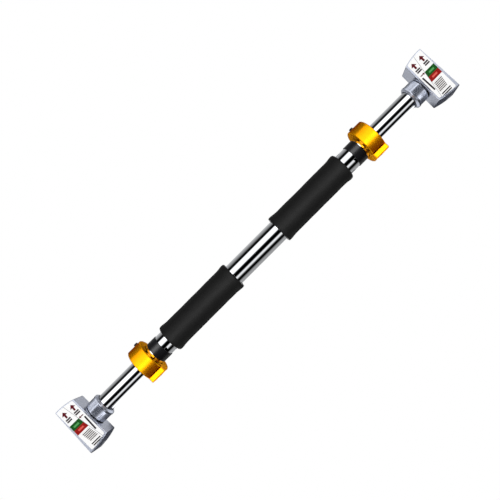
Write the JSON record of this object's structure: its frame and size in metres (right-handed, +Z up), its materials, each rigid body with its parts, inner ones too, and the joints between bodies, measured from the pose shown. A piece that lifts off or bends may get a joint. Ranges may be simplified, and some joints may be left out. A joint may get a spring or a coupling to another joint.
{
  "type": "pull up bar",
  "caption": "Telescoping doorway pull up bar: foam-gripped chrome tube, sliding inner tubes locked by gold clamp collars, and jack-screw end blocks with rubber wall pads.",
  "frame": {"origin": "middle of the bar on the tube axis", "axes": "+X along the bar toward the right end block, +Z up as the bar is used in a doorway, -Y toward the label faces"},
  "size_m": [0.703, 0.0542, 0.0735],
  "materials": {
    "chrome": "polished plating on steel tube",
    "gold_anodised": "turned and gold anodised, bare at the bore chamfer",
    "black_nylon": "satin moulded",
    "white_nylon": "plain moulded",
    "foam": "matte closed-cell foam",
    "grey_plastic": "silver-grey moulded",
    "label_white": "glossy film",
    "black_steel": "black oxide",
    "plain_steel": "plain machined",
    "rubber": "moulded"
  },
  "bodies": {
    "bar": {"main_tube": "chrome", "left_grip": "foam", "left_tube_band": "black_nylon", "left_clamp_collar": "gold_anodised", "left_set_screw": "black_steel", "right_grip": "foam", "right_tube_band": "black_nylon", "right_clamp_collar": "gold_anodised", "right_set_screw": "black_steel"},
    "left_extension": {"left_inner_tube": "chrome", "left_tube_glide": "white_nylon", "left_tube_nut": "plain_steel"},
    "left_wiper": {"left_wiper_ring": "rubber"},
    "left_block": {"left_housing": "grey_plastic", "left_hub_cap": "grey_plastic", "left_label": "label_white", "left_screw_spindle": "plain_steel", "left_back_plate": "plain_steel", "left_plate_screws": "black_steel", "left_wall_pad": "rubber"},
    "left_clamp_screw": {"left_clamp_screw": "black_steel"},
    "right_extension": {"right_inner_tube": "chrome", "right_tube_glide": "white_nylon", "right_tube_nut": "plain_steel"},
    "right_wiper": {"right_wiper_ring": "rubber"},
    "right_block": {"right_housing": "grey_plastic", "right_hub_cap": "grey_plastic", "right_label": "label_white", "right_screw_spindle": "plain_steel", "right_back_plate": "plain_steel", "right_plate_screws": "black_steel", "right_wall_pad": "rubber"},
    "right_clamp_screw": {"right_clamp_screw": "black_steel"}
  },
  "joints": [
    {"name": "left_telescope", "type": "slide", "parent": "bar", "child": "left_extension", "axis": [-1, 0, 0], "range_m": [-0.065, 0.09]},
    {"name": "left_screw_out", "type": "slide", "parent": "left_extension", "child": "left_wiper", "axis": [-1, 0, 0], "range_m": [0, 0.0241]},
    {"name": "left_block_turn", "type": "hinge", "parent": "left_wiper", "child": "left_block", "pos_m": [-0.35, 0, 0], "axis": [1, 0, 0], "range_deg": [0, 1440]},
    {"name": "left_clamp_screw_turn", "type": "hinge", "parent": "bar", "child": "left_clamp_screw", "pos_m": [-0.2141, -0.01499, -0.01607], "axis": [0, 0.7314, -0.682], "range_deg": [0, 720]},
    {"name": "right_telescope", "type": "slide", "parent": "bar", "child": "right_extension", "axis": [1, 0, 0], "range_m": [-0.065, 0.09]},
    {"name": "right_screw_out", "type": "slide", "parent": "right_extension", "child": "right_wiper", "axis": [1, 0, 0], "range_m": [0, 0.0241]},
    {"name": "right_block_turn", "type": "hinge", "parent": "right_wiper", "child": "right_block", "pos_m": [0.35, 0, 0], "axis": [1, 0, 0], "range_deg": [0, 1440]},
    {"name": "right_clamp_screw_turn", "type": "hinge", "parent": "bar", "child": "right_clamp_screw", "pos_m": [0.2141, -0.01499, -0.01607], "axis": [0, 0.7314, -0.682], "range_deg": [0, 720]}
  ],
  "couplings": [
    {"joint": "left_screw_out", "follows": "left_block_turn", "m_per_rad": 0.00095493},
    {"joint": "right_screw_out", "follows": "right_block_turn", "m_per_rad": 0.00095493}
  ]
}
